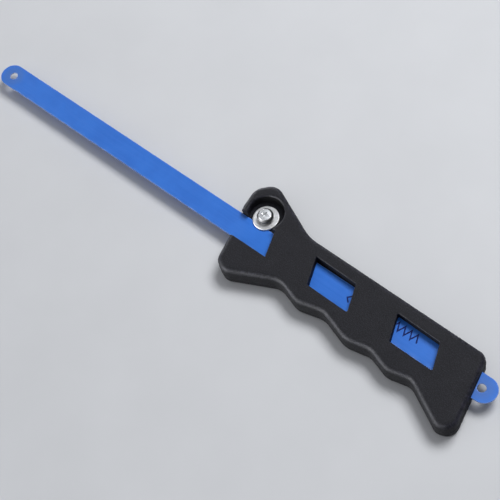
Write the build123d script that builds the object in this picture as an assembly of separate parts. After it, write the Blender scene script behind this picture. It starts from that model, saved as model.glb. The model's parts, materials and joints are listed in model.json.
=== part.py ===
from build123d import *
from math import cos, pi, radians, sin, tan
import os

# Mini hacksaw: a full-length hacksaw blade clamped in a one-piece moulded handle.
# The saw lies flat. +X runs along the blade towards the butt of the handle,
# -Y is the toothed side, +Y the spine, +Z up. Lengths are millimetres.

# Blade, a standard 300 mm hacksaw blade
hole_span = 300.0
blade_width = 12.7
blade_thick = 0.65
blade_end_reach = 7.5
blade_hole_radius = 2.05
tooth_pitch = 25.4 / 24
tooth_depth = 0.55
tooth_rake_run = 0.12
teeth_from = -143.0
teeth_to = 146.0

# Handle
handle_thick = 11.5
part_line_z = handle_thick / 2
draft_angle = 1.5
top_round = 2.8
back_round = 1.6
blade_top_below_face = 4.5
floor_z = handle_thick - blade_top_below_face - blade_thick
slide_gap = 0.05
blade_z = floor_z + slide_gap
channel_gap_side = 0.4
channel_gap_over = 0.35
channel_middle_x = 75.0
channel_length = 200.0
y_shift = 0.415

# Handle outline as corners (x, y, corner radius), anticlockwise from the hump's free end
butt_top_x = 144.4
outline_corners = [
    (5.4, 9.0, 3.0),
    (10.5, -8.0, 3.0),
    (13.5, -20.6, 5.5),
    (20.6, -24.4, 6.0),
    (45.6, -12.7, 10.0),
    (58.5, -16.75, 9.0),
    (72.2, -13.35, 10.0),
    (88.1, -18.4, 12.0),
    (100.7, -15.7, 8.0),
    (112.2, -19.3, 9.0),
    (124.0, -16.5, 7.0),
    (144.6, -27.1, 5.0),
    (153.2, -25.0, 6.0),
    (butt_top_x, 12.9, 5.0),
    (42.6, 13.9, 22.0),
    (12.0, 27.3, 7.0),
    (4.1, 19.4, 8.0),
]

# Windows: both pairs of long edges lie on two slightly converging lines
window_slant = 22.0
window_lefts = (52.3, 100.3)
window_length = 23.7
window_top_at = (52.0, 7.3)
window_top_slope = -0.025
window_low_at = (58.0, -6.6)
window_low_slope = -0.0125
window_corner = 0.6

# Front step, screw pocket
step_at = (30.0, 0.0)
step_slant = 19.8
pocket_centre = (17.7, 11.6)
pocket_radius = 8.9
mouth_round = 0.4
pocket_mouth_round = 1.1
shortest_pocket_rim = 12.0
back_mouth_round = 0.3
least_wall_height = 3.0
upright_within = 0.5

# Openings in the back, one under each bridge between the front openings
back_margin = 1.6
back_half_width = 6.2
butt_web = 4.0

# Clamp: M4 pan-head screw, spring washer, large flat washer, captive nut
clamp_at = (18.0, 10.5)
thread_radius = 2.0
screw_length = 8.0
screw_tip_chamfer = 0.4
head_radius = 4.0
head_height = 2.4
head_round = 1.7
recess_width = 0.95
recess_span = 4.4
recess_depth = 1.4
washer_radius = 6.5
washer_thick = 1.0
washer_bore = 2.15
washer_edge = 0.15
spring_radius = 3.6
spring_thick = 0.9
spring_bore = 2.1
spring_gap = 0.8
spring_gap_at = -50.0
spring_gap_lean = 20.0
nut_flats = 7.0
nut_thick = 3.2
nut_bore = 2.05
nut_face_radius = 3.4
nut_chamfer_angle = 30.0
nut_top_z = 4.0
nut_gap = 0.05
screw_hole_radius = 2.25
boss_radius = 3.5

# Cutters: long enough to pass right through, and their overshoot past a face
through = 60.0
overshoot = 1.0


def rounded_outline(corners):
    """Closed wire through the corners, each rounded by its own radius."""
    edges = []
    starts = []
    ends = []
    middles = []
    count = len(corners)
    for i in range(count):
        px, py, _ = corners[i - 1]
        x, y, r = corners[i]
        nx, ny, _ = corners[(i + 1) % count]
        back = Vector(px - x, py - y).normalized()
        ahead = Vector(nx - x, ny - y).normalized()
        half = radians(back.get_angle(ahead)) / 2
        reach = r / tan(half)
        inward = (back + ahead).normalized()
        corner = Vector(x, y)
        starts.append(corner + back * reach)
        ends.append(corner + ahead * reach)
        middles.append(corner + inward * (r / sin(half) - r))
    for i in range(count):
        edges.append(Line(ends[i - 1], starts[i]))
        edges.append(ThreePointArc(starts[i], middles[i], ends[i]))
    return Wire(edges)


def edge_line_y(line_at, slope, x):
    """Height of a slightly sloping window edge at x."""
    return line_at[1] + slope * (x - line_at[0])


def slanted_prism(left_top_x, right_top_x, top, low, slant, z_from, z_to):
    """Parallelogram opening between two z levels; top and low are (at, slope) lines."""
    corners = []
    for x_top in (left_top_x, right_top_x):
        y_top = edge_line_y(top[0], top[1], x_top)
        y_low = edge_line_y(low[0], low[1], x_top)
        x_low = x_top + (y_top - y_low) * tan(radians(slant))
        corners.append(((x_top, y_top), (x_low, y_low)))
    (tl, bl), (tr, br) = corners
    face = Face(Wire(Polyline(tl, bl, br, tr, close=True).edges()))
    prism = extrude(face, z_to - z_from, dir=(0, 0, 1))
    prism = fillet(prism.edges().filter_by(Axis.Z), window_corner)
    return Pos(0, 0, z_from) * prism


def mouth_edges(body, face):
    """Edges where the openings meet a flat outer face: those shared with an upright wall."""
    found = ShapeList()
    for wall in body.faces():
        upright = abs(wall.normal_at().Z) < sin(radians(upright_within))
        if not upright or wall.bounding_box().size.Z < least_wall_height:
            continue
        shared = wall.edges()
        found += [edge for edge in face.edges() if edge in shared]
    return found


def make_handle():
    outline = Face(rounded_outline(outline_corners))
    upper = extrude(outline, handle_thick - part_line_z, dir=(0, 0, 1), taper=draft_angle)
    lower = extrude(outline, part_line_z, dir=(0, 0, -1), taper=draft_angle)
    body = Pos(0, 0, part_line_z) * (upper + lower)
    body = fillet(body.faces().sort_by(Axis.Z)[-1].edges(), top_round)
    body = fillet(body.faces().sort_by(Axis.Z)[0].edges(), back_round)

    # Channel the blade slides in
    half = blade_width / 2 + channel_gap_side
    channel_height = blade_thick + channel_gap_over
    channel = Box(channel_length, 2 * half, channel_height)
    body -= Pos(channel_middle_x, 0, floor_z + channel_height / 2) * channel

    # Open front: from the slanted step forwards, and the round screw pocket
    lean = tan(radians(step_slant)) * half
    recess = Face(Wire(Polyline(
        (-through, half),
        (-through, -half),
        (step_at[0] + lean, -half),
        (step_at[0] - lean, half),
        close=True,
    ).edges()))
    rise = handle_thick - floor_z + overshoot
    recess = extrude(recess, rise, dir=(0, 0, 1))
    pocket = extrude(Pos(*pocket_centre) * Circle(pocket_radius), rise)
    body -= Pos(0, 0, floor_z) * (recess + pocket)

    # Front windows
    top = (window_top_at, window_top_slope)
    low = (window_low_at, window_low_slope)
    for left in window_lefts:
        right = left + window_length
        body -= slanted_prism(left, right, top, low, window_slant, floor_z, floor_z + rise)

    # Back openings under the bridges
    straight_top = ((0, back_half_width), 0)
    straight_low = ((0, -back_half_width), 0)
    first, second = window_lefts
    spans = (
        (step_at[0] - lean + back_margin, first - back_margin),
        (first + window_length + back_margin, second - back_margin),
        (second + window_length + back_margin, butt_top_x - butt_web),
    )
    for left, right in spans:
        body -= slanted_prism(
            left, right, straight_top, straight_low, window_slant, -overshoot, blade_z
        )

    # Rounded mouths: the pocket's rim softly, all other front edges finely
    front = body.faces().sort_by(Axis.Z)[-1]
    rims = mouth_edges(body, front).filter_by(GeomType.CIRCLE)
    pocket_rim = rims.filter_by(lambda rim: rim.length > shortest_pocket_rim)
    body = fillet(pocket_rim, pocket_mouth_round)
    front = body.faces().sort_by(Axis.Z)[-1]
    body = fillet(mouth_edges(body, front), mouth_round)
    back = body.faces().sort_by(Axis.Z)[0]
    body = fillet(mouth_edges(body, back), back_mouth_round)

    # Boss beside the blade, clearance hole and hexagonal nut pocket
    boss = extrude(Circle(boss_radius), blade_z + blade_thick - floor_z)
    body += Pos(*clamp_at, floor_z) * boss
    body -= Pos(*clamp_at, -overshoot) * extrude(Circle(screw_hole_radius), through)
    nut_room = nut_flats / 2 / cos(pi / 6) + nut_gap
    hexagon = RegularPolygon(nut_room, 6)
    body -= Pos(*clamp_at, -overshoot) * extrude(hexagon, nut_top_z + overshoot)
    return body


def make_blade():
    half = blade_width / 2
    plate = SlotOverall(hole_span + 2 * blade_end_reach, blade_width)
    blade = extrude(plate, blade_thick)
    for side in (-1, 1):
        hole = extrude(Circle(blade_hole_radius), through)
        blade -= Pos(side * hole_span / 2, 0, -overshoot) * hole
    # Gullets: one comb-shaped cutter for the whole toothed edge, teeth facing the tip
    count = int((teeth_to - teeth_from) / tooth_pitch)
    outside_y = -half - overshoot
    points = [(teeth_from, outside_y)]
    for i in range(count):
        x = teeth_from + i * tooth_pitch
        points.append((x, -half))
        points.append((x + tooth_pitch - tooth_rake_run, -half + tooth_depth))
    last_x = teeth_from + count * tooth_pitch
    points.append((last_x, -half))
    points.append((last_x, outside_y))
    comb = Face(Wire(Polyline(*points, close=True).edges()))
    comb = extrude(comb, through, dir=(0, 0, 1))
    blade -= Pos(0, 0, -overshoot) * comb
    return Pos(0, 0, blade_z) * blade


def make_screw():
    head_z = blade_z + blade_thick + slide_gap + washer_thick + spring_thick
    head = extrude(Circle(head_radius), head_height)
    head = fillet(head.faces().sort_by(Axis.Z)[-1].edges(), head_round)
    arm = Box(recess_span, recess_width, recess_depth)
    cross = arm + Rot(0, 0, 90) * arm
    head -= Pos(0, 0, head_height - recess_depth / 2) * cross
    shank = extrude(Circle(thread_radius), screw_length)
    shank = chamfer(shank.faces().sort_by(Axis.Z)[0].edges(), screw_tip_chamfer)
    screw = head + Pos(0, 0, -screw_length) * shank
    return Pos(*clamp_at, head_z) * screw


def make_flat_washer():
    washer = extrude(Circle(washer_radius) - Circle(washer_bore), washer_thick)
    rim = washer.edges().filter_by(GeomType.CIRCLE).group_by(SortBy.RADIUS)[-1]
    washer = chamfer(rim, washer_edge)
    return Pos(*clamp_at, blade_z + blade_thick + slide_gap) * washer


def make_spring_washer():
    ring = extrude(Circle(spring_radius) - Circle(spring_bore), spring_thick)
    gap = Box(2 * spring_radius, spring_gap, spring_thick + 2 * overshoot)
    gap = Pos(spring_radius, 0, spring_thick / 2) * Rot(spring_gap_lean, 0, 0) * gap
    ring -= Rot(0, 0, spring_gap_at) * gap
    return Pos(*clamp_at, blade_z + blade_thick + slide_gap + washer_thick) * ring


def make_nut():
    corner_radius = nut_flats / 2 / cos(pi / 6)
    nut = extrude(RegularPolygon(corner_radius, 6), nut_thick)
    spread = nut_thick / tan(radians(nut_chamfer_angle))
    cone = Cone(nut_face_radius, nut_face_radius + spread, nut_thick)
    nut &= Pos(0, 0, nut_thick / 2) * cone
    nut -= extrude(Circle(nut_bore), nut_thick)
    return Pos(*clamp_at, nut_top_z - nut_thick) * nut


parts = {
    "handle": make_handle(),
    "blade": make_blade(),
    "clamp_screw": make_screw(),
    "spring_washer": make_spring_washer(),
    "flat_washer": make_flat_washer(),
    "captive_nut": make_nut(),
}

os.makedirs("parts", exist_ok=True)
for name, shape in parts.items():
    placed = Pos(0, y_shift, 0) * shape
    box = placed.bounding_box()
    print(name, "%.2f" % placed.volume, box.min, box.max, len(placed.solids()))
    export_step(placed, "parts/%s.step" % name)
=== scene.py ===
import json
import random
from math import cos, pi, radians, sin, tan

import bmesh
import bpy
from mathutils import Matrix, Vector, geometry, noise


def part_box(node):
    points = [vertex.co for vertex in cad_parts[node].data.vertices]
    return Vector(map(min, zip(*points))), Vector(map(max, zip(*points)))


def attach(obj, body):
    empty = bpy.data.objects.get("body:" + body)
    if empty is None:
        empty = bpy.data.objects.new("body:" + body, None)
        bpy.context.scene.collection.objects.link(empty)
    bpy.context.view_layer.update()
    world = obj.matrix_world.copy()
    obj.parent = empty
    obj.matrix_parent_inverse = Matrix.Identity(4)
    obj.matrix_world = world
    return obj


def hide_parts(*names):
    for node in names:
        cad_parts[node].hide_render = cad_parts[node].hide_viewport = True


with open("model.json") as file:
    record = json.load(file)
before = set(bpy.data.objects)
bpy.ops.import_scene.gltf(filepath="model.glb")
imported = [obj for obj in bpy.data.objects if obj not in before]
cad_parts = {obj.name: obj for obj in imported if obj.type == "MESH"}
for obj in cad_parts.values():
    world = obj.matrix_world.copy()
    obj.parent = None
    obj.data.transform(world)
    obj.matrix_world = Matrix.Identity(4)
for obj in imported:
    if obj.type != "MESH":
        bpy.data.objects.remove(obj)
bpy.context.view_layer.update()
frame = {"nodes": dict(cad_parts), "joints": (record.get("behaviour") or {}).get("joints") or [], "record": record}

# Looks of the mini hacksaw. Shapes are worked out in millimetres and stored in metres,
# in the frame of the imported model: +X towards the butt, -Y the teeth, +Z up.
MM = 0.001


def node_box(node):
    """Lowest and highest corner of a CAD node, in millimetres."""
    low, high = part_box(node)
    return low / MM, high / MM


mounts = {m["name"]: m for m in frame["record"]["mounts"]}
joints = {j["name"]: j for j in frame["joints"]}
hole_centres = [Vector(mounts[name]["pos_m"]) / MM for name in ("tip_hole", "butt_hole")]
clamp_x, clamp_y, _ = Vector(joints["screw_turn"]["pos_m"]) / MM

# ---------------------------------------------------------------- materials


class Shader:
    """One Principled material, built from a few kinds of node on coordinates in millimetres."""

    def __init__(self, name):
        self.material = bpy.data.materials.new(name)
        self.material.use_nodes = True
        self.tree = self.material.node_tree
        self.tree.nodes.clear()
        self.surface = self.node("ShaderNodeBsdfPrincipled")
        output = self.node("ShaderNodeOutputMaterial")
        self.tree.links.new(self.surface.outputs[0], output.inputs["Surface"])
        place = self.node("ShaderNodeTexCoord").outputs["Object"]
        self.mm = self.vector("SCALE", place, Scale=1 / MM)

    def node(self, kind, **properties):
        made = self.tree.nodes.new(kind)
        for key, value in properties.items():
            setattr(made, key, value)
        return made

    def put(self, socket, value):
        """Links value to the socket if it is a socket, and otherwise sets it there."""
        if isinstance(value, bpy.types.NodeSocket):
            self.tree.links.new(value, socket)
        else:
            socket.default_value = value

    def vector(self, operation, first, second=None, **named):
        made = self.node("ShaderNodeVectorMath", operation=operation)
        self.put(made.inputs[0], first)
        if second is not None:
            self.put(made.inputs[1], second)
        for key, value in named.items():
            self.put(made.inputs[key], value)
        return made.outputs[0]

    def math(self, operation, first, second=0.0):
        made = self.node("ShaderNodeMath", operation=operation, use_clamp=False)
        self.put(made.inputs[0], first)
        self.put(made.inputs[1], second)
        return made.outputs[0]

    def plus(self, first, second):
        return self.math("ADD", first, second)

    def minus(self, first, second):
        return self.math("SUBTRACT", first, second)

    def times(self, first, second):
        return self.math("MULTIPLY", first, second)

    def larger(self, first, second):
        return self.math("MAXIMUM", first, second)

    def step(self, value, low, high, to_low=0.0, to_high=1.0):
        """Smooth step from to_low to to_high as value goes from low to high."""
        made = self.node("ShaderNodeMapRange", interpolation_type="SMOOTHSTEP")
        for key, number in (("Value", value), ("From Min", low), ("From Max", high),
                            ("To Min", to_low), ("To Max", to_high)):
            self.put(made.inputs[key], number)
        return made.outputs["Result"]

    def noise(self, scale, detail=3.0, roughness=0.55, stretch=(1, 1, 1), at=(0, 0, 0)):
        """Noise from 0 to 1 with about scale features per millimetre."""
        made = self.node("ShaderNodeTexNoise")
        place = self.vector("MULTIPLY", self.vector("ADD", self.mm, at), stretch)
        self.put(made.inputs["Vector"], place)
        for key, number in (("Scale", scale), ("Detail", detail), ("Roughness", roughness)):
            made.inputs[key].default_value = number
        return made.outputs[0]

    def cells(self, scale, at=(0, 0, 0)):
        """Distance to the nearest of scattered points, about scale of them per millimetre."""
        made = self.node("ShaderNodeTexVoronoi")
        self.put(made.inputs["Vector"], self.vector("ADD", self.mm, at))
        made.inputs["Scale"].default_value = scale
        return made.outputs["Distance"]

    def attribute(self, name):
        return self.node("ShaderNodeAttribute", attribute_name=name).outputs["Fac"]

    def level(self):
        """How level the surface is: 1 where it faces straight up or down, 0 on an upright wall."""
        parts = self.node("ShaderNodeSeparateXYZ")
        self.put(parts.inputs[0], self.node("ShaderNodeNewGeometry").outputs["Normal"])
        return self.math("ABSOLUTE", parts.outputs[2])

    def distance(self, x, y):
        """Distance in millimetres from the upright line through (x, y)."""
        parts = self.node("ShaderNodeSeparateXYZ")
        self.put(parts.inputs[0], self.vector("SUBTRACT", self.mm, (x, y, 0)))
        squares = [self.times(part, part) for part in parts.outputs[:2]]
        return self.math("SQRT", self.plus(*squares))

    def mix(self, share, first, second):
        """Colour from first to second by share."""
        made = self.node("ShaderNodeMix", data_type="RGBA")
        self.put(made.inputs["Factor"], share)
        colours = [s for s in made.inputs if s.type == "RGBA"]
        self.put(colours[0], first)
        self.put(colours[1], second)
        return [s for s in made.outputs if s.type == "RGBA"][0]

    def bump(self, height, depth, strength=1.0, under=None):
        """Normal from a height from 0 to 1 that stands for depth millimetres."""
        made = self.node("ShaderNodeBump")
        self.put(made.inputs["Height"], height)
        made.inputs["Distance"].default_value = depth * MM
        made.inputs["Strength"].default_value = strength
        if under is not None:
            self.put(made.inputs["Normal"], under)
        return made.outputs[0]

    def finish(self, **inputs):
        """Puts each value on the shader's socket of that name and gives the material."""
        for key, value in inputs.items():
            self.put(self.surface.inputs[key.replace("_", " ")], value)
        return self.material


def grey(value, tint=(1.0, 1.0, 1.0)):
    """Grey of one brightness, or tinted by a factor for each of red, green and blue."""
    return tuple(value * t for t in tint) + (1.0,)


def black_plastic():
    """Spark-eroded black moulding: fine pits, cloudy gloss, rubbed and smoother round its edges."""
    s = Shader("moulded_black_plastic")
    cool = (0.95, 0.92, 1.28)
    deep_black, black = grey(0.0032, cool), grey(0.0052, cool)
    mottled, grained = grey(0.011, cool), grey(0.024, cool)
    rubbed_grey, hair_grey, dust = grey(0.045, cool), grey(0.06, cool), grey(0.12)
    cloud = s.noise(0.13, detail=4, roughness=0.6)
    mottle = s.noise(0.9, detail=4, roughness=0.65, at=(12, 5, 3))
    rubbed = s.noise(0.5, detail=5, roughness=0.7, at=(40, 3, 9))
    grain = s.noise(3.1, detail=5, roughness=0.7)
    coarse = s.noise(1.9, detail=3, roughness=0.6, at=(6, 2, 8))
    pits = s.cells(2.7)
    level = s.level()
    wall = s.step(level, 0.1, 0.4, 1.0, 0.0)
    rounding = s.times(s.step(level, 0.1, 0.5), s.step(level, 0.86, 0.99, 1.0, 0.0))
    worn = s.times(rounding, s.step(rubbed, 0.36, 0.66))
    hair = s.noise(1.6, detail=2, roughness=0.5, stretch=(0.06, 2.4, 1.0), at=(7, 7, 7))
    hair = s.times(s.step(hair, 0.69, 0.75), s.step(cloud, 0.45, 0.6))
    speck = s.step(s.cells(0.55, at=(5, 1, 2)), 0.04, 0.075, 1.0, 0.0)
    speck = s.times(speck, s.step(s.noise(0.4, at=(3, 8, 1)), 0.5, 0.6))

    colour = s.mix(s.step(cloud, 0.3, 0.72), deep_black, black)
    colour = s.mix(s.step(mottle, 0.35, 0.75, 0.0, 0.5), colour, mottled)
    colour = s.mix(s.step(coarse, 0.42, 0.7, 0.0, 0.75), colour, grained)
    colour = s.mix(s.times(worn, 0.6), colour, rubbed_grey)
    colour = s.mix(s.times(hair, 0.25), colour, hair_grey)
    colour = s.mix(s.times(speck, 0.15), colour, dust)

    rough = s.step(cloud, 0.25, 0.75, 0.58, 0.48)
    rough = s.minus(rough, s.times(rounding, 0.13))
    rough = s.plus(rough, s.times(wall, 0.12))
    rough = s.minus(rough, s.times(hair, 0.08))
    rough = s.plus(rough, s.times(grain, 0.05))

    flow = s.bump(s.noise(0.35, detail=2, stretch=(0.5, 1, 1)), depth=0.05, strength=0.5)
    flow = s.bump(coarse, depth=0.15, under=flow)
    fine = s.bump(s.plus(s.times(pits, 0.5), grain), depth=0.04, strength=0.9, under=flow)
    return s.finish(Base_Color=colour, Roughness=rough, Normal=fine, Specular_IOR_Level=0.15)


def blue_enamel():
    """Baked blue enamel on steel: slight orange peel, thin and chipped at the edges and tooth tips; the paler blue
    along the edges is thinner enamel and also a painted highlight.
    """
    s = Shader("blue_enamel_on_steel")
    deep_blue, full_blue = (0.012, 0.140, 0.575, 1), (0.017, 0.162, 0.63, 1)
    streak_blue, rubbed_blue = (0.04, 0.19, 0.68, 1), (0.11, 0.26, 0.62, 1)
    # The second colour here is paler blue for the edges: thinner enamel, and also a painted highlight
    dull_blue, thin_enamel_and_highlight_blue = (0.07, 0.15, 0.36, 1), (0.30, 0.42, 0.80, 1)
    bare_steel = (0.52, 0.50, 0.48, 1)
    streak = s.noise(1.2, detail=4, stretch=(0.035, 1, 1))
    cloud = s.noise(0.09, detail=3, at=(11, 4, 0))
    chip = s.noise(3.2, detail=5, roughness=0.75, stretch=(0.55, 1, 1), at=(2, 9, 4))
    edge = s.attribute("edge")
    tip = s.attribute("tip")
    # Paler blue along the edges: thinner enamel there, and also a painted highlight on the edges
    thin_enamel_and_highlight = s.times(edge, s.step(chip, 0.3, 0.7, 0.35, 1.0))
    thin_enamel_and_highlight = s.times(thin_enamel_and_highlight, s.step(tip, 0.0, 1.0, 1.0, 0.4))
    bare_edge = s.times(edge, s.step(chip, 0.56, 0.62))
    bare_tip = s.step(s.plus(tip, s.times(chip, 0.5)), 1.0, 1.2)
    bare = s.larger(bare_edge, bare_tip)
    rub = s.noise(2.4, detail=3, stretch=(0.02, 3.0, 1), at=(1, 2, 3))
    rub = s.times(s.step(rub, 0.66, 0.74), s.step(cloud, 0.48, 0.64))

    blue = s.mix(s.step(cloud, 0.3, 0.7), deep_blue, full_blue)
    blue = s.mix(s.step(streak, 0.25, 0.8, 0.0, 0.3), blue, streak_blue)
    blue = s.mix(s.times(rub, 0.2), blue, rubbed_blue)
    for centre in hole_centres:
        away = s.plus(s.distance(centre.x, centre.y), s.times(chip, 3.0))
        blue = s.mix(s.step(away, 4.5, 9.0, 0.4, 0.0), blue, dull_blue)
    # Paler edge blue: thinner enamel and a painted highlight
    blue = s.mix(s.times(thin_enamel_and_highlight, 0.75), blue, thin_enamel_and_highlight_blue)
    colour = s.mix(bare, blue, bare_steel)

    rough = s.step(s.noise(0.8, detail=4, at=(0, 5, 5)), 0.2, 0.8, 0.42, 0.54)
    rough = s.plus(rough, s.times(rub, 0.12))

    peel = s.bump(s.noise(0.9, detail=2, roughness=0.4), depth=0.03, strength=0.35)
    height = s.plus(s.noise(7, detail=3), s.times(bare, -1.2))
    fine = s.bump(height, depth=0.012, strength=0.6, under=peel)
    return s.finish(Base_Color=colour, Metallic=bare, Roughness=rough, Normal=fine,
                    Coat_Weight=0.06, Coat_Roughness=0.3, Specular_IOR_Level=0.28)


def plated(name, tone, tint, gloss, turned=0.0, painted_shade=None):
    """Plated steel: tumbling dents, fine scratches, faint haze, optional turned rings.
    Given two radii from the clamp's axis, the colour darkens between them round a shoulder: painted shade."""
    s = Shader(name)
    scratch_grey = grey(0.95)
    painted_shade_black = (0.02, 0.019, 0.018, 1)
    ring_density = 46
    haze = s.noise(0.55, detail=4, at=(3, 1, 6))
    grit = s.noise(9, detail=4, roughness=0.7)
    dents = s.noise(1.5, detail=2, roughness=0.4, at=(9, 9, 2))
    along = s.noise(5, detail=2, stretch=(0.05, 1.6, 1), at=(4, 0, 0))
    across = s.noise(5, detail=2, stretch=(1.5, 0.06, 1), at=(0, 6, 0))
    scratches = s.larger(s.step(along, 0.64, 0.7), s.step(across, 0.66, 0.72))
    radius = s.distance(clamp_x, clamp_y)
    rings = s.math("SINE", s.plus(s.times(radius, ring_density), s.times(grit, 2)))

    colour = s.mix(s.step(haze, 0.3, 0.72), grey(tone), grey(tone * 0.82, tint))
    colour = s.mix(s.times(scratches, 0.3), colour, scratch_grey)

    rough = s.step(haze, 0.25, 0.75, gloss, gloss + 0.14)
    rough = s.plus(rough, s.times(grit, 0.06))
    # Painted shade: near-black colour between the two radii stands in for the shade on the screw head's side and
    # under it
    if painted_shade:
        unshaded_radius, shaded_radius = painted_shade
        uneven = s.plus(radius, s.times(haze, 0.3))
        shade_share = s.step(uneven, unshaded_radius, shaded_radius, 0.0, 0.9)
        colour = s.mix(shade_share, colour, painted_shade_black)
        rough = s.plus(rough, s.times(shade_share, 0.25))

    height = s.plus(s.times(rings, turned), grit)
    height = s.minus(height, s.times(scratches, 0.7))
    soft = s.bump(dents, depth=0.05, strength=0.4)
    fine = s.bump(height, depth=0.008, strength=0.8, under=soft)
    return s.finish(Base_Color=colour, Metallic=1.0, Roughness=rough, Normal=fine)


def print_ink():
    """Thin dark printing ink, denser in places."""
    s = Shader("dark_print_ink")
    dense_ink, thin_ink = (0.003, 0.010, 0.085, 1), (0.006, 0.022, 0.15, 1)
    patchy = s.noise(2.2, detail=5, roughness=0.7)
    colour = s.mix(s.step(patchy, 0.35, 0.7), dense_ink, thin_ink)
    rough = s.step(patchy, 0.3, 0.7, 0.42, 0.6)
    fine = s.bump(s.noise(8, detail=3), depth=0.006, strength=0.6)
    return s.finish(Base_Color=colour, Roughness=rough, Normal=fine, Specular_IOR_Level=0.12)


# ---------------------------------------------------------------- mesh helpers


def smooth(thing, sharp):
    """Smooth shading except at edges sharper than sharp degrees."""
    mesh = thing.data
    mesh.shade_smooth()
    mesh.set_sharp_from_angle(angle=radians(sharp))
    weighted = thing.modifiers.new("weighted_normals", "WEIGHTED_NORMAL")
    weighted.keep_sharp = True


def make_object(name, points, faces, sharp, attributes=None):
    """Mesh object from points in millimetres, smooth except at edges sharper than sharp degrees."""
    mesh = bpy.data.meshes.new(name)
    mesh.from_pydata([Vector(p) * MM for p in points], [], faces)
    for key, values in (attributes or {}).items():
        layer = mesh.attributes.new(key, "FLOAT", "POINT")
        layer.data.foreach_set("value", values)
    shape = bmesh.new()
    shape.from_mesh(mesh)
    bmesh.ops.recalc_face_normals(shape, faces=shape.faces)
    shape.to_mesh(mesh)
    shape.free()
    made = bpy.data.objects.new(name, mesh)
    bpy.context.scene.collection.objects.link(made)
    smooth(made, sharp)
    return made


def finish_piece(piece, body, material, replaced=None):
    """Gives a piece its material and its body, and hides the CAD node it replaces."""
    piece.data.materials.clear()
    piece.data.materials.append(material)
    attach(piece, body)
    if replaced:
        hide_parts(replaced)


def apply_modifiers(thing):
    """Gives an object the mesh that its modifiers make of it, and removes them."""
    graph = bpy.context.evaluated_depsgraph_get()
    mesh = bpy.data.meshes.new_from_object(thing.evaluated_get(graph))
    thing.modifiers.clear()
    thing.data = mesh


def revolve(profile, steps, place, closed):
    """Points and faces of a profile turned round the clamp's axis.
    place(k, angle) gives (radius, z) of profile point k; closed joins the last point to the first."""
    points = []
    rows = []
    for k in range(len(profile)):
        row = []
        for i in range(steps):
            angle = 2 * pi * i / steps
            radius, z = place(k, angle)
            if radius == 0 and row:
                row.append(row[0])
                continue
            row.append(len(points))
            points.append((clamp_x + radius * cos(angle), clamp_y + radius * sin(angle), z))
        rows.append(row)
    faces = []
    for k in range(len(rows) if closed else len(rows) - 1):
        low, high = rows[k], rows[(k + 1) % len(rows)]
        for i in range(steps):
            j = (i + 1) % steps
            corners = []
            for corner in (low[i], low[j], high[j], high[i]):
                if corner not in corners:
                    corners.append(corner)
            faces.append(corners)
    return points, faces


def arc(centre_r, centre_z, radius, from_deg, to_deg, count):
    """Profile points along an arc, angles from +r towards +z."""
    found = []
    for i in range(count + 1):
        turn = radians(from_deg + (to_deg - from_deg) * i / count)
        found.append((centre_r + radius * cos(turn), centre_z + radius * sin(turn)))
    return found


def blend_step(value, low, high):
    """Smooth step from 0 to 1 as value goes from low to high."""
    t = min(max((value - low) / (high - low), 0.0), 1.0)
    return t * t * (3 - 2 * t)


# ---------------------------------------------------------------- blade

blade_low, blade_high = node_box("blade")
blade_y = hole_centres[0].y
hole_radius = mounts["tip_hole"]["dims"]["r_mm"]
half_width = (blade_high.y - blade_low.y) / 2
edge_round = 0.13
edge_band = 0.28

tooth_count = 273
tooth_pitch = 25.4 / 24
tooth_depth = 0.55
teeth_from = -143.0
teeth_to = teeth_from + tooth_count * tooth_pitch
# One tooth from its tip to the next, as shares of the pitch and of the depth
tooth_shape = (
    (0.0, 0.0),
    (0.06, 0.04),
    (0.5, 0.56),
    (0.7, 0.88),
    (0.79, 0.985),
    (0.86, 0.97),
    (0.9, 0.86),
)

# Wavy set: how many teeth a wave takes, how far it leans up and down, between which heights
# above the tooth tips it dies away, and along which stretches it comes in and goes out
set_teeth = 9
set_up = 0.13
set_down = 0.045
set_heights = (0.25, 1.9)
set_comes_in = (teeth_from - 1, teeth_from + 6)
set_goes_out = (teeth_to - 6, 146)


def blade_outline():
    """Edge of the blade, anticlockwise: (x, y, outward x, outward y, how far its edge is rounded)."""
    end_x = blade_high.x - half_width
    low_y = blade_y - half_width
    beside_teeth = 0.4
    end_steps = 40
    spine_steps = 80
    found = [(-end_x, low_y, 0, -1, 1), (teeth_from - beside_teeth, low_y, 0, -1, 1)]
    for i in range(tooth_count):
        for along, deep in tooth_shape:
            x = teeth_from + (i + along) * tooth_pitch
            found.append((x, low_y + deep * tooth_depth, 0, -1, 0))
    found.append((teeth_to, low_y, 0, -1, 0))
    found.append((teeth_to + beside_teeth, low_y, 0, -1, 1))
    for side in (1, -1):
        for i in range(end_steps + 1):
            turn = side * (-pi / 2) + pi * i / end_steps
            out = Vector((cos(turn), sin(turn)))
            x = side * end_x + half_width * out.x
            found.append((x, blade_y + half_width * out.y, out.x, out.y, 1))
        if side == 1:
            for i in range(1, spine_steps):
                x = end_x - 2 * end_x * i / spine_steps
                found.append((x, blade_y + half_width, 0, 1, 1))
    # The last point of the second end is the first point again
    return found[:-1]


def blade_rings():
    """The blade's outline and its two holes, as lists of edge points."""
    rings = [blade_outline()]
    steps = 48
    for centre in hole_centres:
        ring = []
        for i in range(steps):
            turn = -2 * pi * i / steps
            x = centre.x + hole_radius * cos(turn)
            y = centre.y + hole_radius * sin(turn)
            ring.append((x, y, -cos(turn), -sin(turn), 1))
        rings.append(ring)
    return rings


def moved_in(edge_point, inset):
    """Place in plan of an edge point, moved inset millimetres into the blade."""
    x, y, out_x, out_y, _ = edge_point
    return x - out_x * inset, y - out_y * inset


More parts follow.
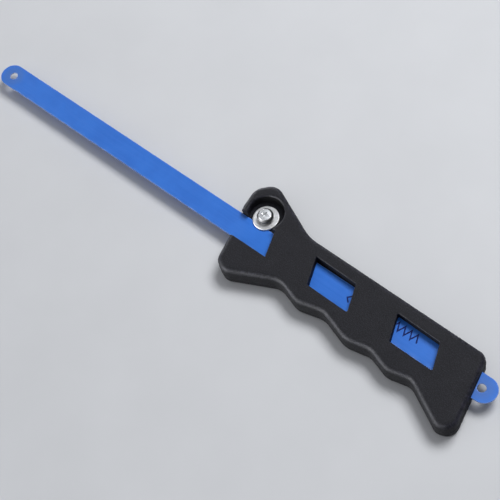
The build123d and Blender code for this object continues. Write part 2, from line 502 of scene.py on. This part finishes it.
def face_points(rings):
    """Points of the blade's flat faces in plan: the edge first, then points inside it."""
    found = [moved_in(p, edge_round * p[4]) for ring in rings for p in ring]
    # Just inside the rounded edges, so that what marks the edge stays near it
    found += [moved_in(p, edge_round + edge_band) for ring in rings for p in ring if p[4]]
    # Rows above the teeth, so that the set can bend them
    tooth_rows = 5
    tooth_row_y = blade_low.y + tooth_depth + 0.22
    tooth_row_gap = 0.32
    for row in range(tooth_rows):
        for i in range(2 * tooth_count + 1):
            found.append((teeth_from + i * tooth_pitch / 2, tooth_row_y + row * tooth_row_gap))
    # A sparse grid over the rest
    grid_rows, grid_columns = 3, 97
    grid_x, grid_y = -144.0, blade_y - 1.2
    grid_gap_x, grid_gap_y = 3.0, 2.6
    for row in range(grid_rows):
        for i in range(grid_columns):
            found.append((grid_x + i * grid_gap_x, grid_y + row * grid_gap_y))
    return [Vector(p) for p in found]


def outside_teeth(point):
    """Whether a point near the toothed edge lies in a gullet or below the blade."""
    deep = point.y - blade_low.y
    if deep > tooth_depth:
        return False
    along = (point.x - teeth_from) / tooth_pitch
    if not 0 <= along <= tooth_count:
        return deep < 0
    share = along % 1
    shape = tooth_shape + ((1.0, 0.0),)
    for (from_share, from_deep), (to_share, to_deep) in zip(shape, shape[1:]):
        if from_share <= share <= to_share:
            part = (share - from_share) / (to_share - from_share)
            return deep < tooth_depth * (from_deep + (to_deep - from_deep) * part)
    return True


def in_hole(point):
    """Whether a point lies in a hole or on its rounded rim, which the walls make."""
    reach = hole_radius + edge_round * 0.9
    return any((point - centre.xy).length < reach for centre in hole_centres)


def flat_face(rings):
    """The blade's flat face in plan: its points, its triangles and where each ring's points are."""
    links = []
    start = 0
    for ring in rings:
        count = len(ring)
        links += [(start + i, start + (i + 1) % count) for i in range(count)]
        start += count
    cut = geometry.delaunay_2d_cdt(face_points(rings), links, [], 0, 1e-5)
    points, _, triangles, origins, _, _ = cut
    kept = []
    for face in triangles:
        middle = sum((points[i] for i in face), Vector((0, 0))) / 3
        if not in_hole(middle) and not outside_teeth(middle):
            kept.append(face)
    used = sorted({i for face in kept for i in face})
    place = {old: new for new, old in enumerate(used)}
    came_to = {source: i for i, sources in enumerate(origins) for source in sources}
    ring_places = []
    start = 0
    for ring in rings:
        ring_places.append([place[came_to[start + i]] for i in range(len(ring))])
        start += len(ring)
    plan = [points[i] for i in used]
    triangles = [tuple(place[i] for i in face) for face in kept]
    return plan, triangles, ring_places


def set_bend(x, y):
    """Sideways bend of the toothed edge: whole groups of teeth lean up, then down."""
    share = 1 - blend_step(y - blade_low.y, *set_heights)
    wave = sin(2 * pi * (x - teeth_from) / (set_teeth * tooth_pitch))
    ends = blend_step(x, *set_comes_in) * (1 - blend_step(x, *set_goes_out))
    return share * ends * (wave * (set_up + set_down) / 2 + (set_up - set_down) / 2)


def make_blade():
    """Two flat faces, and walls with rounded corners along the outline and round the holes."""
    rings = blade_rings()
    plan, triangles, ring_places = flat_face(rings)
    rim = {place for places in ring_places for place in places}
    # How strongly the faces' rim counts as edge: it sets the thinner enamel and the painted edge highlight there
    rim_edge = 0.45
    tip_height = 0.5
    points = []
    edge = []
    tip = []

    def add(x, y, z, on_edge):
        points.append((x, y, z + set_bend(x, y)))
        edge.append(on_edge)
        toothed = teeth_from <= x <= teeth_to
        tip.append(1 - blend_step(y - blade_low.y, 0.0, tip_height) if toothed else 0.0)
        return len(points) - 1

    for z in (blade_high.z, blade_low.z):
        for i, p in enumerate(plan):
            add(p.x, p.y, z, rim_edge if i in rim else 0.0)
    under = len(plan)
    faces = list(triangles)
    faces += [tuple(under + i for i in reversed(face)) for face in triangles]
    # Walls: top rim, rounded corner, side, rounded corner, bottom rim
    corner = 1 - cos(pi / 4)
    wall = (
        (blade_high.z - edge_round * corner, corner),
        (blade_high.z - edge_round, 0.0),
        (blade_low.z + edge_round, 0.0),
        (blade_low.z + edge_round * corner, corner),
    )
    for ring, places in zip(rings, ring_places):
        rows = [places]
        for z, pull in wall:
            rows.append([add(*moved_in(p, edge_round * p[4] * pull), z, 1.0) for p in ring])
        rows.append([under + i for i in places])
        for upper, lower in zip(rows, rows[1:]):
            for i in range(len(ring)):
                j = (i + 1) % len(ring)
                faces.append((upper[i], lower[i], lower[j], upper[j]))
    blade = make_object("enamelled_blade", points, faces, 50, {"edge": edge, "tip": tip})
    finish_piece(blade, "blade", blue_enamel(), "blade")


# ---------------------------------------------------------------- print on the blade


def stroke_sides(path, width):
    """Left and right edges of a pen stroke along a path with mitred corners, slightly uneven."""
    cuts = 12
    unevenness = 0.03
    ways = [(b - a).normalized() for a, b in zip(path, path[1:])]
    ways = [ways[0]] + ways + [ways[-1]]
    corners = []
    for p, back, ahead in zip(path, ways, ways[1:]):
        along = (back + ahead).normalized()
        across = Vector((-along.y, along.x))
        reach = width / 2 / across.dot(Vector((-back.y, back.x)))
        corners.append((p + across * reach, p - across * reach))
    sides = [[], []]
    for first, last in zip(corners, corners[1:]):
        for i in range(cuts):
            for side in (0, 1):
                p = first[side].lerp(last[side], i / cuts)
                uneven = unevenness if i else 0.0
                shift = Vector((random.uniform(-uneven, uneven), random.uniform(-uneven, uneven)))
                sides[side].append(p + shift)
    for side in (0, 1):
        sides[side].append(corners[-1][side])
    return sides


def print_strokes():
    """Paths of a generic mark: a row of tooth shapes, an arrow head and four leaning bars."""
    low_y = blade_y + 0.2
    high_y = blade_y + 4.1
    zigzag_x = 100.6
    half_pitch = 1.75
    zigzag = [(zigzag_x + i * half_pitch, high_y if i % 2 else low_y) for i in range(9)]
    arrow_x = 75.4
    arrow_y = blade_y + 0.4
    reach = 1.9
    arrow = [(arrow_x + reach, arrow_y + reach), (arrow_x, arrow_y), (arrow_x + reach, arrow_y - reach)]
    bar_x = 82.5
    bar_gap = 2.5
    lean = 0.9
    strokes = [zigzag, arrow]
    for i in range(4):
        x = bar_x + i * bar_gap
        strokes.append([(x, low_y + 0.2), (x + lean, high_y - 0.2)])
    return strokes


def make_print():
    """The mark on the enamel, as a film of ink that is half sunk in it."""
    random.seed(24)
    stroke = 0.72
    film = 0.012
    top = blade_high.z
    points = []
    faces = []
    for line in print_strokes():
        left, right = stroke_sides([Vector(p) for p in line], stroke)
        base = len(points)
        n = len(left)
        for z in (top - film, top + film):
            points += [(p.x, p.y, z) for p in left + right]
        for i in range(n - 1):
            lo, hi = base + i, base + 2 * n + i
            faces.append((hi, hi + n, hi + n + 1, hi + 1))
            faces.append((lo, lo + 1, lo + n + 1, lo + n))
            faces.append((lo, hi, hi + 1, lo + 1))
            faces.append((lo + n, lo + n + 1, hi + n + 1, hi + n))
        for i in (0, n - 1):
            lo, hi = base + i, base + 2 * n + i
            faces.append((lo, lo + n, hi + n, hi))
    mark = make_object("blade_print", points, faces, 30)
    finish_piece(mark, "blade", print_ink())


# ---------------------------------------------------------------- clamp screw

thread_pitch = 0.7
thread_depth = 0.42
thread_radius = 2.0
# Rows of points along one turn of thread
thread_rows = 10


def thread_wave(z, angle):
    """Depth share of a thread with softened flanks, 0 on its crest and 1 in its root."""
    turn = (z / thread_pitch - angle / (2 * pi)) % 1
    slope = abs(2 * turn - 1)
    return blend_step(slope, 0.12, 0.88) * 0.5 + 0.5 * min(max((slope - 0.1) / 0.8, 0), 1)


def screw_profile(low, high, head_z, head_radius, top_radius):
    """Profile of the screw from its tip to its crown: (kind, radius, z)."""
    hollow_tip = [(0.0, low.z + 0.12), (0.9, low.z + 0.06), (1.3, low.z)]
    rows = int((head_z - low.z) / (thread_pitch / thread_rows))
    thread = [(thread_radius, low.z + (head_z - low.z) * k / rows) for k in range(1, rows + 1)]
    # Neck, underside, rounded lower edge and side of the head
    neck = 0.16
    lower_edge = 0.16
    head = arc(thread_radius + neck, head_z - 0.02, neck, 180, 120, 2)
    head += [(head_radius - 0.35, head_z), (head_radius - 0.12, head_z + 0.03)]
    head += arc(head_radius - lower_edge, head_z + 0.03 + lower_edge, lower_edge, -60, 0, 3)
    head += [(head_radius, high.z - 1.1), (head_radius - 0.05, high.z - 0.92)]
    # Shoulder, then a slightly crowned top
    shoulder = 0.4
    shoulder_from = 50
    crown = 0.12
    crown_steps = 8
    head += arc(top_radius, high.z - crown - shoulder, shoulder, shoulder_from, 90, 7)
    for i in range(1, crown_steps + 1):
        share = 1 - i / crown_steps
        head.append((top_radius * share, high.z - crown * share ** 2))
    profile = [("turned", r, z) for r, z in hollow_tip]
    profile += [("thread", r, z) for r, z in thread]
    profile += [("turned", r, z) for r, z in head]
    return profile


def make_screw():
    """M4 pan-head screw with its thread, its neck and a cross recess."""
    low, high = node_box("clamp_screw")
    head_z = node_box("spring_washer")[1].z
    head_radius = (high.x - low.x) / 2
    top_radius = head_radius - 1.15
    round_steps = 120
    lead_in_height = 0.9
    lead_in_depth = 0.35
    profile = screw_profile(low, high, head_z, head_radius, top_radius)

    def place(k, angle):
        kind, radius, z = profile[k]
        if kind == "turned":
            return radius, z
        crest = radius - lead_in_depth * (1 - blend_step(z, low.z, low.z + lead_in_height))
        run_out = 1 - blend_step(z, head_z - 0.7, head_z - 0.3)
        return crest - thread_depth * thread_wave(z, angle) * run_out, z

    points, faces = revolve(profile, round_steps, place, closed=False)
    screw = make_object("m4_pan_head_screw", points, faces, 40)
    cut_recess(screw, high.z)
    # Painted shade on the head's side and underside, darkening from just outside the shoulder outward
    painted_shade = (top_radius + 0.15, top_radius + 0.5)
    look = plated("zinc_screw", 0.8, (0.97, 0.99, 1.0), 0.2, painted_shade=painted_shade)
    finish_piece(screw, "screw", look, "clamp_screw")


def recess_arm(top_z, depth, over, quarter):
    """One tapered arm of the cross, through the axis; quarter 1 is turned by 90 degrees."""
    span_top, span_low = 1.9, 0.95
    half_top, half_low = 0.46, 0.3
    grow = (depth + over) / depth
    span_over = span_low + (span_top - span_low) * grow
    half_over = half_low + (half_top - half_low) * grow
    ends = ((top_z - depth, span_low, half_low), (top_z + over, span_over, half_over))
    points = []
    for z, span, half in ends:
        for side_x, side_y in ((-1, -1), (1, -1), (1, 1), (-1, 1)):
            x, y = side_x * span, side_y * half
            if quarter:
                x, y = -y, x
            points.append((clamp_x + x, clamp_y + y, z))
    faces = [(3, 2, 1, 0), (4, 5, 6, 7)]
    faces += [(i, (i + 1) % 4, 4 + (i + 1) % 4, 4 + i) for i in range(4)]
    return points, faces


def recess_core(top_z, depth, over):
    """The tapered pit in the middle of the cross."""
    sides = 16
    levels = ((top_z - depth - 0.35, 0.12), (top_z - depth, 0.6), (top_z + over, 1.05))
    points = []
    for z, radius in levels:
        for i in range(sides):
            turn = 2 * pi * (i + 0.5) / sides
            points.append((clamp_x + radius * cos(turn), clamp_y + radius * sin(turn), z))
    faces = [tuple(reversed(range(sides))), tuple(2 * sides + i for i in range(sides))]
    for ring in (0, sides):
        for i in range(sides):
            j = (i + 1) % sides
            faces.append((ring + i, ring + j, ring + sides + j, ring + sides + i))
    return points, faces


def cut_recess(screw, top_z):
    """Cross recess: two tapered arms and a tapered core, with softened edges."""
    depth = 1.75
    over = 0.5
    softening = 0.06
    cutters = [recess_arm(top_z, depth, over, quarter) for quarter in (0, 1)]
    cutters.append(recess_core(top_z, depth, over))
    # Booleans work on a mesh a thousand times larger, where their tolerance is small
    screw.data.transform(Matrix.Scale(1 / MM, 4))
    screw.modifiers.clear()
    for points, faces in cutters:
        tool = make_object("recess_cutter", points, faces, 30)
        tool.modifiers.clear()
        tool.data.transform(Matrix.Scale(1 / MM, 4))
        cut = screw.modifiers.new("cut", "BOOLEAN")
        cut.object = tool
        cut.operation = "DIFFERENCE"
        cut.solver = "EXACT"
        apply_modifiers(screw)
        bpy.data.objects.remove(tool)
    edges = screw.modifiers.new("soft_edges", "BEVEL")
    edges.width = softening
    edges.segments = 2
    edges.limit_method = "ANGLE"
    edges.angle_limit = radians(38)
    apply_modifiers(screw)
    screw.data.transform(Matrix.Scale(MM, 4))
    smooth(screw, 40)


# ---------------------------------------------------------------- washers and nut


def make_flat_washer():
    """Stamped washer: rolled over at its upper edges, slightly dished, with a burr below."""
    low, high = node_box("flat_washer")
    outer = (high.x - low.x) / 2
    bore = 2.15
    bore_roll = 0.16
    roll = 0.3
    burr = 0.05
    dish = 0.02
    dish_steps = 8
    profile = [(bore, high.z - bore_roll)]
    profile += arc(bore + bore_roll, high.z - bore_roll, bore_roll, 180, 90, 3)[1:]
    for i in range(1, dish_steps):
        r = bore + bore_roll + (outer - roll - bore - bore_roll) * i / dish_steps
        profile.append((r, high.z - dish * sin(pi * i / dish_steps)))
    profile += arc(outer - roll, high.z - roll, roll, 90, 12, 5)
    profile += [(outer - 0.02, high.z - 0.5), (outer, low.z + 0.28), (outer - 0.015, low.z + burr)]
    profile += [(outer - 0.06, low.z), (bore + 0.1, low.z), (bore, low.z + 0.08)]
    dent_depth = 0.012
    dent_scale = 0.9
    round_steps = 144

    def place(k, angle):
        r, z = profile[k]
        dent = dent_depth * noise.noise(Vector((r * cos(angle), r * sin(angle), z)) * dent_scale)
        on_face = bore + 0.2 < r < outer - 0.1
        return r + (dent if on_face else 0), min(max(z + dent, low.z), high.z)

    points, faces = revolve(profile, round_steps, place, closed=True)
    washer = make_object("large_flat_washer", points, faces, 45)
    look = plated("zinc_washer_face", 0.58, (1.0, 0.985, 0.95), 0.3, turned=0.6)
    finish_piece(washer, "washers", look, "flat_washer")


def make_spring_washer():
    """Split ring with a slanting gap and rounded edges."""
    low, high = node_box("spring_washer")
    inner, outer = 2.1, 3.6
    gap = 0.8
    gap_at = radians(-50)
    lean = tan(radians(20))
    soft = 0.1
    corners = (
        (outer - soft, high.z - soft, 0),
        (inner + soft, high.z - soft, 90),
        (inner + soft, low.z + soft, 180),
        (outer - soft, low.z + soft, 270),
    )
    section = []
    for r, z, start in corners:
        section += arc(r, z, soft, start, start + 90, 2)
    steps = 90
    points = []
    for i in range(steps + 1):
        for r, z in section:
            half_gap = gap / 2 / r
            slant = (z - (low.z + high.z) / 2) * lean / r
            from_angle = gap_at + half_gap - slant
            to_angle = gap_at + 2 * pi - half_gap - slant
            angle = from_angle + (to_angle - from_angle) * i / steps
            points.append((clamp_x + r * cos(angle), clamp_y + r * sin(angle), z))
    n = len(section)
    faces = [tuple(range(n)), tuple(steps * n + k for k in reversed(range(n)))]
    for i in range(steps):
        for k in range(n):
            m = (k + 1) % n
            faces.append((i * n + k, i * n + m, (i + 1) * n + m, (i + 1) * n + k))
    washer = make_object("split_spring_washer", points, faces, 40)
    look = plated("dark_spring_steel", 0.13, (0.98, 1.0, 1.03), 0.34)
    finish_piece(washer, "washers", look, "spring_washer")


def make_nut():
    """Hexagon nut with both faces chamfered by 30 degrees and a thread in its bore."""
    low, high = node_box("captive_nut")
    apothem = (high.y - low.y) / 2
    face_radius = apothem - 0.1
    bore = 2.05
    groove = 0.25
    flare = 0.3
    flare_height = 0.35
    rise = tan(radians(30))
    round_steps = 120
    rows = int((high.z - low.z) / (thread_pitch / thread_rows))
    profile = [("thread", bore, high.z - (high.z - low.z) * k / rows) for k in range(rows + 1)]
    profile += [("face", face_radius, low.z), ("corner", 1, low.z)]
    profile += [("corner", -1, high.z), ("face", face_radius, high.z)]

    def place(k, angle):
        kind, value, z = profile[k]
        if kind == "face":
            return value, z
        if kind == "corner":
            radius = apothem / cos((angle % (pi / 3)) - pi / 6)
            return radius, z + value * (radius - face_radius) * rise
        from_low = blend_step(z, low.z, low.z + flare_height)
        from_high = 1 - blend_step(z, high.z - flare_height, high.z)
        threaded = min(from_low, from_high)
        return value + flare * (1 - threaded) + groove * thread_wave(z, angle + pi) * threaded, z

    points, faces = revolve(profile, round_steps, place, closed=True)
    nut = make_object("captive_hex_nut", points, faces, 28)
    look = plated("zinc_nut", 0.68, (1.0, 0.98, 0.92), 0.34)
    finish_piece(nut, "handle", look, "captive_nut")


# ---------------------------------------------------------------- handle


def cut_loop(thing, z):
    """Closed outline where a level plane at height z cuts an object, as points in plan."""
    shape = bmesh.new()
    shape.from_mesh(thing.data)
    cut = bmesh.ops.bisect_plane(
        shape,
        geom=shape.verts[:] + shape.edges[:] + shape.faces[:],
        plane_co=(0, 0, z * MM),
        plane_no=(0, 0, 1),
        dist=1e-7,
    )
    beside = {}
    for item in cut["geom_cut"]:
        if isinstance(item, bmesh.types.BMEdge):
            a, b = (tuple(round(c / MM, 3) for c in v.co.xy) for v in item.verts)
            if a != b:
                beside.setdefault(a, set()).add(b)
                beside.setdefault(b, set()).add(a)
    shape.free()
    start = min(beside)
    loop = [start]
    before = None
    while True:
        ahead = [p for p in sorted(beside[loop[-1]]) if p != before]
        if not ahead or ahead[0] == start:
            break
        before = loop[-1]
        loop.append(ahead[0])
    return [Vector(p) for p in loop]


def spaced(loop, spacing):
    """Points at even distances of about spacing round a closed loop."""
    sides = list(zip(loop, loop[1:] + loop[:1]))
    total = sum((b - a).length for a, b in sides)
    count = int(total / spacing)
    found = []
    walked = 0.0
    target = 0.0
    for a, b in sides:
        length = (b - a).length
        while target < walked + length and len(found) < count:
            found.append(a.lerp(b, (target - walked) / length))
            target += total / count
        walked += length
    return found


def make_parting_line(handle, plastic):
    """Flash where the two halves of the mould met: a fine uneven ridge right round the outline."""
    low, high = node_box("handle")
    line_z = (low.z + high.z) / 2
    sunk = 0.12
    foot = 0.16
    crest = 0.05
    inside_box = 0.001
    route = spaced(cut_loop(handle, line_z), 0.5)
    n = len(route)
    area = sum(a.x * b.y - b.x * a.y for a, b in zip(route, route[1:] + route[:1]))
    turn = 1 if area > 0 else -1
    points = []
    for i, p in enumerate(route):
        along = (route[(i + 1) % n] - route[i - 1]).normalized()
        out = Vector((along.y, -along.x)) * turn
        jitter = noise.noise(Vector((p.x, p.y, 0)) * 0.35)
        proud = 0.105 + 0.045 * jitter
        for reach, rise in ((-sunk, foot), (proud, crest), (proud, -crest), (-sunk, -foot)):
            at = p + out * reach
            y = min(max(at.y, low.y + inside_box), high.y - inside_box)
            points.append((at.x, y, line_z + rise + 0.02 * jitter))
    faces = []
    for i in range(n):
        j = (i + 1) % n
        for k in range(4):
            m = (k + 1) % 4
            faces.append((4 * i + k, 4 * j + k, 4 * j + m, 4 * i + m))
    line = make_object("handle_parting_line", points, faces, 60)
    finish_piece(line, "handle", plastic)


def finish_handle():
    """The handle keeps its CAD shape and gets its material and the line of its mould."""
    plastic = black_plastic()
    handle = frame["nodes"]["handle"]
    handle.data.materials.clear()
    handle.data.materials.append(plastic)
    make_parting_line(handle, plastic)


# ---------------------------------------------------------------- floor, light, camera


def make_floor():
    """Plain pale floor, a hair below the saw."""
    size = 4.0
    drop = 0.0002
    corners = [(x * size, y * size, -drop) for x, y in ((-1, -1), (1, -1), (1, 1), (-1, 1))]
    mesh = bpy.data.meshes.new("floor")
    mesh.from_pydata(corners, [], [(0, 1, 2, 3)])
    floor = bpy.data.objects.new("floor", mesh)
    bpy.context.scene.collection.objects.link(floor)
    s = Shader("pale_floor")
    paper = s.noise(0.02, detail=3)
    colour = s.mix(s.step(paper, 0.2, 0.8), grey(0.62), grey(0.65))
    floor.data.materials.append(s.finish(Base_Color=colour, Roughness=0.75))


def studio_world():
    """Bright above and dim near the horizon, like a room with a lit ceiling."""
    dim, bright = 0.1, 0.55
    rise_from, rise_to = 0.4, 0.95
    world = bpy.data.worlds.new("studio")
    world.use_nodes = True
    tree = world.node_tree
    direction = tree.nodes.new("ShaderNodeTexCoord").outputs["Generated"]
    parts = tree.nodes.new("ShaderNodeSeparateXYZ")
    tree.links.new(direction, parts.inputs[0])
    rise = tree.nodes.new("ShaderNodeMapRange")
    rise.interpolation_type = "SMOOTHSTEP"
    for key, number in (("From Min", rise_from), ("From Max", rise_to),
                        ("To Min", dim), ("To Max", bright)):
        rise.inputs[key].default_value = number
    tree.links.new(parts.outputs[2], rise.inputs["Value"])
    background = tree.nodes["Background"]
    background.inputs["Color"].default_value = (0.9, 0.93, 1.0, 1)
    tree.links.new(rise.outputs["Result"], background.inputs["Strength"])
    bpy.context.scene.world = world


def area_light(name, at, size, power, highlights_only=False):
    """Rectangle of light aimed at the handle; highlights_only hides it from diffuse light."""
    aim = Vector((0.03, 0.0, 0.0))
    data = bpy.data.lights.new(name, "AREA")
    data.shape = "RECTANGLE"
    data.size, data.size_y = size
    data.energy = power
    data.color = (0.94, 0.96, 1.0)
    light = bpy.data.objects.new(name, data)
    bpy.context.scene.collection.objects.link(light)
    light.location = at
    light.rotation_euler = (aim - Vector(at)).to_track_quat("-Z", "Y").to_euler()
    light.visible_diffuse = not highlights_only


def make_camera():
    """Camera at the photograph's viewing angle."""
    data = bpy.data.cameras.new("camera")
    data.lens = 93.6
    data.sensor_width = 36.0
    data.clip_start = 0.01
    camera = bpy.data.objects.new("camera", data)
    bpy.context.scene.collection.objects.link(camera)
    camera.location = (0.282043, -0.164729, 0.541196)
    camera.rotation_euler = (radians(28.0008), radians(10.196), radians(40.2269))
    bpy.context.scene.camera = camera


# ---------------------------------------------------------------- the whole scene

make_blade()
make_print()
make_screw()
make_flat_washer()
make_spring_washer()
make_nut()
finish_handle()

make_floor()
studio_world()
area_light("key", (0.15, 0.59, 0.98), (0.6, 0.45), 10.5)
area_light("front_strip", (-0.35, -0.88, 0.33), (1.2, 0.65), 38, highlights_only=True)
area_light("left_strip", (-0.82, 0.48, 0.14), (0.9, 0.2), 9, highlights_only=True)
make_camera()
bpy.context.scene.view_settings.view_transform = "Standard"

bpy.context.view_layer.update()
